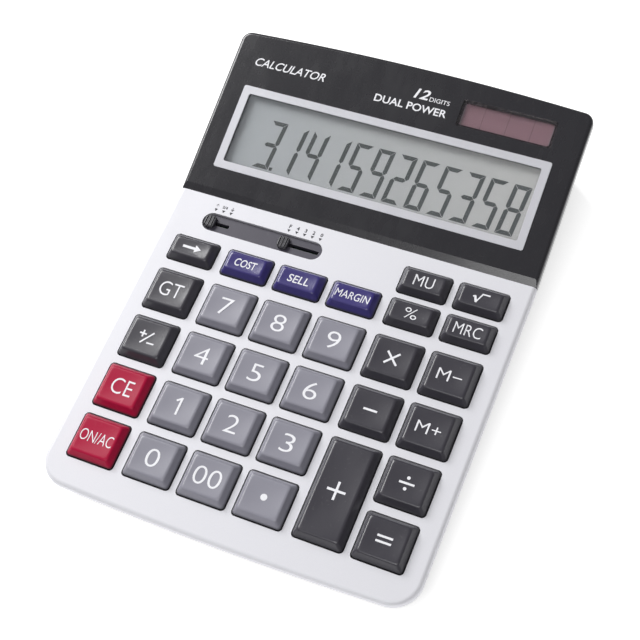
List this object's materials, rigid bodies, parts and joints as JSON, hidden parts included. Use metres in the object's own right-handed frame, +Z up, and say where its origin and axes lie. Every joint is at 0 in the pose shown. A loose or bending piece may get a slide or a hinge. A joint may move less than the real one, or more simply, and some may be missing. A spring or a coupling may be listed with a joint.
{
  "type": "desk calculator",
  "caption": "Desk calculator with a tilted display, rubber-dome push keys, two slide switches, a solar cell and a sliding battery door.",
  "frame": {"origin": "middle of the bottom of the bounding box, on the table under the rubber feet", "axes": "+Z up, +Y from the front edge towards the display, +X to the user's right"},
  "size_m": [0.14, 0.1914, 0.0377],
  "materials": {
    "silver_shell": "fine silver paint, satin",
    "dark_shell": "smooth, slightly glossy",
    "lower_shell": "fine grain",
    "door_plastic": "fine grain",
    "foot_rubber": "matte",
    "screw_steel": "zinc plated",
    "switch_plate_plastic": "satin",
    "knob_plastic": "satin",
    "board_laminate": "green solder mask",
    "dome_rubber": "translucent silicone",
    "chip_epoxy": "black epoxy",
    "silver_trim": "silver paint",
    "clear_window": "clear acrylic",
    "solar_clear": "clear acrylic",
    "lcd_glass": "grey-green reflective display",
    "holder_plastic": "moulded",
    "ribbon_film": "film with printed tracks",
    "solar_glass": "amorphous silicon on glass",
    "pad_foam": "closed-cell foam",
    "lead_insulation": "wire insulation",
    "cell_steel": "nickel plated",
    "contact_metal": "plated spring strip",
    "key_grey": "satin gloss",
    "key_black": "satin gloss",
    "key_violet": "satin gloss",
    "key_red": "satin gloss"
  },
  "bodies": {
    "case": {"keyboard_cover": "silver_shell", "display_cover": "dark_shell", "lower_case": "lower_shell", "rubber_feet": "foot_rubber", "case_screws": "screw_steel", "switch_plate": "switch_plate_plastic", "main_board": "board_laminate", "dome_sheet": "dome_rubber", "chip_blob": "chip_epoxy", "board_screws": "screw_steel", "display_frame": "silver_trim", "display_window": "clear_window", "lcd_cell": "lcd_glass", "lcd_holder": "holder_plastic", "holder_screws": "screw_steel", "display_ribbon": "ribbon_film", "solar_window": "solar_clear", "solar_cell": "solar_glass", "solar_pad": "pad_foam", "solar_leads": "lead_insulation", "battery_cell": "cell_steel", "battery_contact_minus": "contact_metal", "battery_contact_plus": "contact_metal", "battery_leads": "lead_insulation"},
    "key_7": {"key_7": "key_grey"},
    "key_8": {"key_8": "key_grey"},
    "key_9": {"key_9": "key_grey"},
    "key_4": {"key_4": "key_grey"},
    "key_5": {"key_5": "key_grey"},
    "key_6": {"key_6": "key_grey"},
    "key_1": {"key_1": "key_grey"},
    "key_2": {"key_2": "key_grey"},
    "key_3": {"key_3": "key_grey"},
    "key_0": {"key_0": "key_grey"},
    "key_00": {"key_00": "key_grey"},
    "key_point": {"key_point": "key_grey"},
    "key_markup": {"key_markup": "key_black"},
    "key_root": {"key_root": "key_black"},
    "key_backspace": {"key_backspace": "key_black"},
    "key_percent": {"key_percent": "key_black"},
    "key_memory_recall": {"key_memory_recall": "key_black"},
    "key_grand_total": {"key_grand_total": "key_black"},
    "key_multiply": {"key_multiply": "key_black"},
    "key_memory_minus": {"key_memory_minus": "key_black"},
    "key_sign": {"key_sign": "key_black"},
    "key_minus": {"key_minus": "key_black"},
    "key_memory_plus": {"key_memory_plus": "key_black"},
    "key_plus": {"key_plus": "key_black"},
    "key_divide": {"key_divide": "key_black"},
    "key_equals": {"key_equals": "key_black"},
    "key_cost": {"key_cost": "key_violet"},
    "key_sell": {"key_sell": "key_violet"},
    "key_margin": {"key_margin": "key_violet"},
    "key_clear_entry": {"key_clear_entry": "key_red"},
    "key_on_clear": {"key_on_clear": "key_red"},
    "rounding_switch": {"rounding_knob": "knob_plastic", "rounding_wiper": "contact_metal"},
    "decimal_switch": {"decimal_knob": "knob_plastic", "decimal_wiper": "contact_metal"},
    "battery_door": {"battery_door": "door_plastic"}
  },
  "joints": [
    {"name": "key_7_press", "type": "slide", "parent": "case", "child": "key_7", "axis": [0, 0.0558, -0.9984], "range_m": [0, 0.0015], "stiffness_N_per_m": 300, "springref_m": -0.0012, "deforming": ["dome_sheet"]},
    {"name": "key_8_press", "type": "slide", "parent": "case", "child": "key_8", "axis": [0, 0.0558, -0.9984], "range_m": [0, 0.0015], "stiffness_N_per_m": 300, "springref_m": -0.0012, "deforming": ["dome_sheet"]},
    {"name": "key_9_press", "type": "slide", "parent": "case", "child": "key_9", "axis": [0, 0.0558, -0.9984], "range_m": [0, 0.0015], "stiffness_N_per_m": 300, "springref_m": -0.0012, "deforming": ["dome_sheet"]},
    {"name": "key_4_press", "type": "slide", "parent": "case", "child": "key_4", "axis": [0, 0.0558, -0.9984], "range_m": [0, 0.0015], "stiffness_N_per_m": 300, "springref_m": -0.0012, "deforming": ["dome_sheet"]},
    {"name": "key_5_press", "type": "slide", "parent": "case", "child": "key_5", "axis": [0, 0.0558, -0.9984], "range_m": [0, 0.0015], "stiffness_N_per_m": 300, "springref_m": -0.0012, "deforming": ["dome_sheet"]},
    {"name": "key_6_press", "type": "slide", "parent": "case", "child": "key_6", "axis": [0, 0.0558, -0.9984], "range_m": [0, 0.0015], "stiffness_N_per_m": 300, "springref_m": -0.0012, "deforming": ["dome_sheet"]},
    {"name": "key_1_press", "type": "slide", "parent": "case", "child": "key_1", "axis": [0, 0.0558, -0.9984], "range_m": [0, 0.0015], "stiffness_N_per_m": 300, "springref_m": -0.0012, "deforming": ["dome_sheet"]},
    {"name": "key_2_press", "type": "slide", "parent": "case", "child": "key_2", "axis": [0, 0.0558, -0.9984], "range_m": [0, 0.0015], "stiffness_N_per_m": 300, "springref_m": -0.0012, "deforming": ["dome_sheet"]},
    {"name": "key_3_press", "type": "slide", "parent": "case", "child": "key_3", "axis": [0, 0.0558, -0.9984], "range_m": [0, 0.0015], "stiffness_N_per_m": 300, "springref_m": -0.0012, "deforming": ["dome_sheet"]},
    {"name": "key_0_press", "type": "slide", "parent": "case", "child": "key_0", "axis": [0, 0.0558, -0.9984], "range_m": [0, 0.0015], "stiffness_N_per_m": 300, "springref_m": -0.0012, "deforming": ["dome_sheet"]},
    {"name": "key_00_press", "type": "slide", "parent": "case", "child": "key_00", "axis": [0, 0.0558, -0.9984], "range_m": [0, 0.0015], "stiffness_N_per_m": 300, "springref_m": -0.0012, "deforming": ["dome_sheet"]},
    {"name": "key_point_press", "type": "slide", "parent": "case", "child": "key_point", "axis": [0, 0.0558, -0.9984], "range_m": [0, 0.0015], "stiffness_N_per_m": 300, "springref_m": -0.0012, "deforming": ["dome_sheet"]},
    {"name": "key_markup_press", "type": "slide", "parent": "case", "child": "key_markup", "axis": [0, 0.0558, -0.9984], "range_m": [0, 0.0015], "stiffness_N_per_m": 300, "springref_m": -0.0012, "deforming": ["dome_sheet"]},
    {"name": "key_root_press", "type": "slide", "parent": "case", "child": "key_root", "axis": [0, 0.0558, -0.9984], "range_m": [0, 0.0015], "stiffness_N_per_m": 300, "springref_m": -0.0012, "deforming": ["dome_sheet"]},
    {"name": "key_backspace_press", "type": "slide", "parent": "case", "child": "key_backspace", "axis": [0, 0.0558, -0.9984], "range_m": [0, 0.0015], "stiffness_N_per_m": 300, "springref_m": -0.0012, "deforming": ["dome_sheet"]},
    {"name": "key_percent_press", "type": "slide", "parent": "case", "child": "key_percent", "axis": [0, 0.0558, -0.9984], "range_m": [0, 0.0015], "stiffness_N_per_m": 300, "springref_m": -0.0012, "deforming": ["dome_sheet"]},
    {"name": "key_memory_recall_press", "type": "slide", "parent": "case", "child": "key_memory_recall", "axis": [0, 0.0558, -0.9984], "range_m": [0, 0.0015], "stiffness_N_per_m": 300, "springref_m": -0.0012, "deforming": ["dome_sheet"]},
    {"name": "key_grand_total_press", "type": "slide", "parent": "case", "child": "key_grand_total", "axis": [0, 0.0558, -0.9984], "range_m": [0, 0.0015], "stiffness_N_per_m": 300, "springref_m": -0.0012, "deforming": ["dome_sheet"]},
    {"name": "key_multiply_press", "type": "slide", "parent": "case", "child": "key_multiply", "axis": [0, 0.0558, -0.9984], "range_m": [0, 0.0015], "stiffness_N_per_m": 300, "springref_m": -0.0012, "deforming": ["dome_sheet"]},
    {"name": "key_memory_minus_press", "type": "slide", "parent": "case", "child": "key_memory_minus", "axis": [0, 0.0558, -0.9984], "range_m": [0, 0.0015], "stiffness_N_per_m": 300, "springref_m": -0.0012, "deforming": ["dome_sheet"]},
    {"name": "key_sign_press", "type": "slide", "parent": "case", "child": "key_sign", "axis": [0, 0.0558, -0.9984], "range_m": [0, 0.0015], "stiffness_N_per_m": 300, "springref_m": -0.0012, "deforming": ["dome_sheet"]},
    {"name": "key_minus_press", "type": "slide", "parent": "case", "child": "key_minus", "axis": [0, 0.0558, -0.9984], "range_m": [0, 0.0015], "stiffness_N_per_m": 300, "springref_m": -0.0012, "deforming": ["dome_sheet"]},
    {"name": "key_memory_plus_press", "type": "slide", "parent": "case", "child": "key_memory_plus", "axis": [0, 0.0558, -0.9984], "range_m": [0, 0.0015], "stiffness_N_per_m": 300, "springref_m": -0.0012, "deforming": ["dome_sheet"]},
    {"name": "key_plus_press", "type": "slide", "parent": "case", "child": "key_plus", "axis": [0, 0.0558, -0.9984], "range_m": [0, 0.0015], "stiffness_N_per_m": 300, "springref_m": -0.0012, "deforming": ["dome_sheet"]},
    {"name": "key_divide_press", "type": "slide", "parent": "case", "child": "key_divide", "axis": [0, 0.0558, -0.9984], "range_m": [0, 0.0015], "stiffness_N_per_m": 300, "springref_m": -0.0012, "deforming": ["dome_sheet"]},
    {"name": "key_equals_press", "type": "slide", "parent": "case", "child": "key_equals", "axis": [0, 0.0558, -0.9984], "range_m": [0, 0.0015], "stiffness_N_per_m": 300, "springref_m": -0.0012, "deforming": ["dome_sheet"]},
    {"name": "key_cost_press", "type": "slide", "parent": "case", "child": "key_cost", "axis": [0, 0.0558, -0.9984], "range_m": [0, 0.0015], "stiffness_N_per_m": 300, "springref_m": -0.0012, "deforming": ["dome_sheet"]},
    {"name": "key_sell_press", "type": "slide", "parent": "case", "child": "key_sell", "axis": [0, 0.0558, -0.9984], "range_m": [0, 0.0015], "stiffness_N_per_m": 300, "springref_m": -0.0012, "deforming": ["dome_sheet"]},
    {"name": "key_margin_press", "type": "slide", "parent": "case", "child": "key_margin", "axis": [0, 0.0558, -0.9984], "range_m": [0, 0.0015], "stiffness_N_per_m": 300, "springref_m": -0.0012, "deforming": ["dome_sheet"]},
    {"name": "key_clear_entry_press", "type": "slide", "parent": "case", "child": "key_clear_entry", "axis": [0, 0.0558, -0.9984], "range_m": [0, 0.0015], "stiffness_N_per_m": 300, "springref_m": -0.0012, "deforming": ["dome_sheet"]},
    {"name": "key_on_clear_press", "type": "slide", "parent": "case", "child": "key_on_clear", "axis": [0, 0.0558, -0.9984], "range_m": [0, 0.0015], "stiffness_N_per_m": 300, "springref_m": -0.0012, "deforming": ["dome_sheet"]},
    {"name": "rounding_switch_slide", "type": "slide", "parent": "case", "child": "rounding_switch", "axis": [1, 0, 0], "range_m": [0, 0.0062]},
    {"name": "decimal_switch_slide", "type": "slide", "parent": "case", "child": "decimal_switch", "axis": [1, 0, 0], "range_m": [0, 0.0126]},
    {"name": "battery_door_slide", "type": "slide", "parent": "case", "child": "battery_door", "axis": [0, 1, 0], "range_m": [0, 0.022]}
  ]
}
